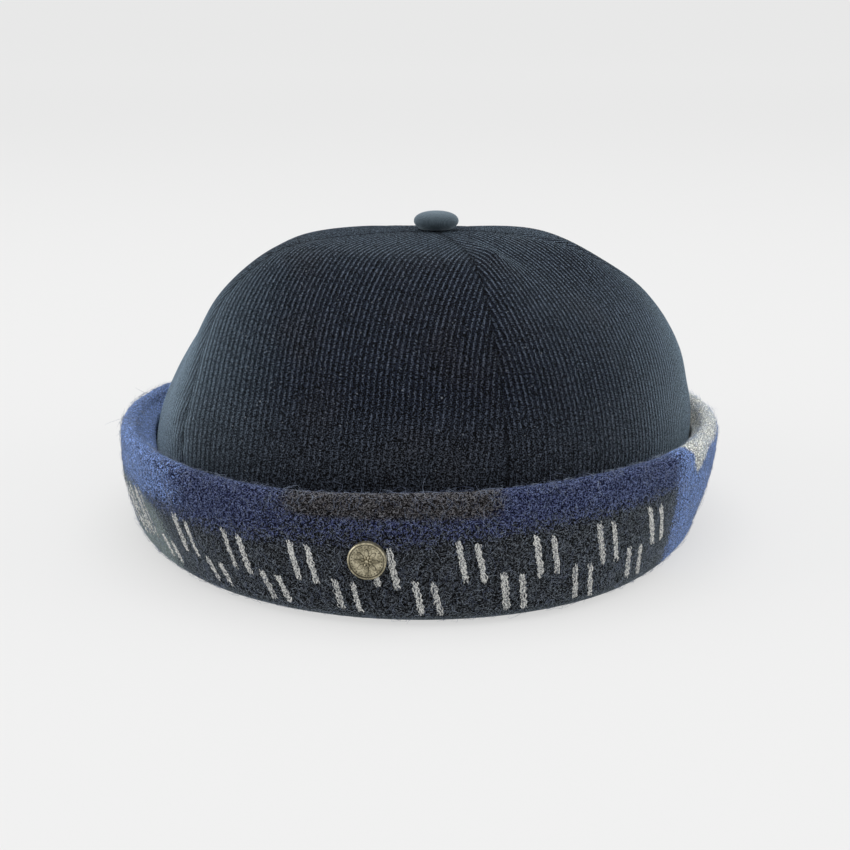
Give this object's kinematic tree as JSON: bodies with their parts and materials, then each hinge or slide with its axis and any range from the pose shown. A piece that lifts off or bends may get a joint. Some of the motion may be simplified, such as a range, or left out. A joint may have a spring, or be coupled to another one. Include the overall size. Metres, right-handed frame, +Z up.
{
  "type": "docker beanie",
  "caption": "Brimless docker cap with a ribbed corduroy crown of five panels, a covered button on top, a turned-up brushed wool cuff and a small round metal badge",
  "frame": {"origin": "on the surface that the cuff rests on, under the middle of the hat's bounding box", "axes": "+Z up through the crown, -Y toward the front, where the badge is, +X toward the hat's left as worn, which is the right of the picture"},
  "size_m": [0.2066, 0.2072, 0.1057],
  "materials": {
    "corduroy": "ribbed pile, near-black navy",
    "button_cloth": "smooth matt cloth, slate",
    "brushed_wool": "brushed, blue and charcoal with pale dashes",
    "aged_metal": "aged, pale and dull"
  },
  "bodies": {
    "root": {"crown_panel_front_left": "corduroy", "crown_panel_front_right": "corduroy", "crown_panel_rear_right": "corduroy", "crown_panel_rear": "corduroy", "crown_panel_rear_left": "corduroy", "top_button": "button_cloth", "cuff": "brushed_wool", "badge": "aged_metal"}
  },
  "joints": []
}
